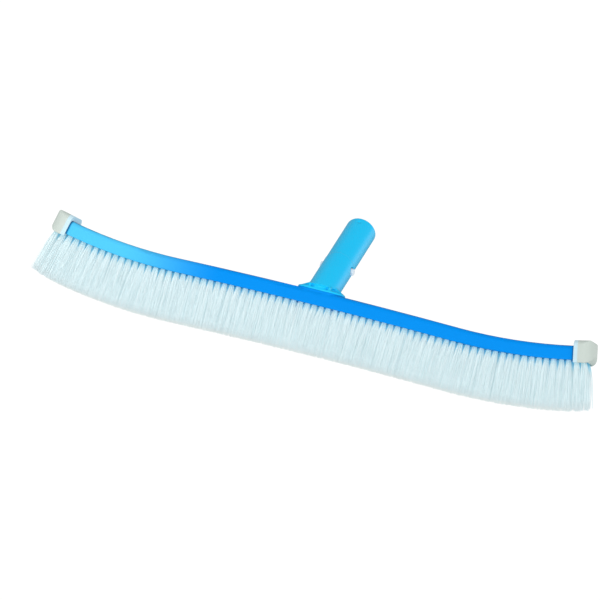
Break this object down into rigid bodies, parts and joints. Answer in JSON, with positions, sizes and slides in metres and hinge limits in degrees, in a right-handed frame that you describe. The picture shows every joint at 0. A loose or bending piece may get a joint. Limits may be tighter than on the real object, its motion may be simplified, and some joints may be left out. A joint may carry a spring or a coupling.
{
  "type": "pool wall brush",
  "caption": "Curved pool wall brush with staggered bristle tufts, soft end bumpers and a leaning pole handle with sprung lock buttons.",
  "frame": {"origin": "middle of the footprint box at the level of the lowest bristle tips, as the brush stands on its bristles", "axes": "+X along the brush, +Z from the bristle tips up to the back, the handle leans towards +Y"},
  "size_m": [0.5244, 0.0988, 0.1366],
  "materials": {
    "back_plastic": "satin moulded blue ABS",
    "handle_plastic": "satin moulded light blue ABS",
    "button_plastic": "moulded natural acetal",
    "bristle": "translucent white polypropylene filament",
    "bumper": "soft grey-white elastomer",
    "steel": "stainless steel",
    "spring_steel": "stainless spring strip",
    "anchor": "brass anchor strip"
  },
  "bodies": {
    "brush": {"brush_back": "back_plastic", "handle": "handle_plastic", "handle_screw_left": "steel", "handle_screw_right": "steel", "bristle_row_front": "bristle", "bristle_row_front_inner": "bristle", "bristle_row_back_inner": "bristle", "bristle_row_back": "bristle", "anchor_row_front": "anchor", "anchor_row_front_inner": "anchor", "anchor_row_back_inner": "anchor", "anchor_row_back": "anchor", "end_bumper_left": "bumper", "end_bumper_right": "bumper", "clip_bend": "spring_steel"},
    "clip_arm_left": {"clip_arm_left": "spring_steel", "button_left": "button_plastic"},
    "clip_arm_right": {"clip_arm_right": "spring_steel", "button_right": "button_plastic"}
  },
  "joints": [
    {"name": "button_left_press", "type": "hinge", "parent": "brush", "child": "clip_arm_left", "pos_m": [-0.0066, 0.03173, 0.1188], "axis": [0, -0.6896, 0.7242], "range_deg": [0, 3], "stiffness_Nm_per_rad": 2.2, "springref_deg": -2.86},
    {"name": "button_right_press", "type": "hinge", "parent": "brush", "child": "clip_arm_right", "pos_m": [0.0066, 0.03173, 0.1188], "axis": [0, 0.6896, -0.7242], "range_deg": [0, 3], "stiffness_Nm_per_rad": 2.2, "springref_deg": -2.86}
  ]
}
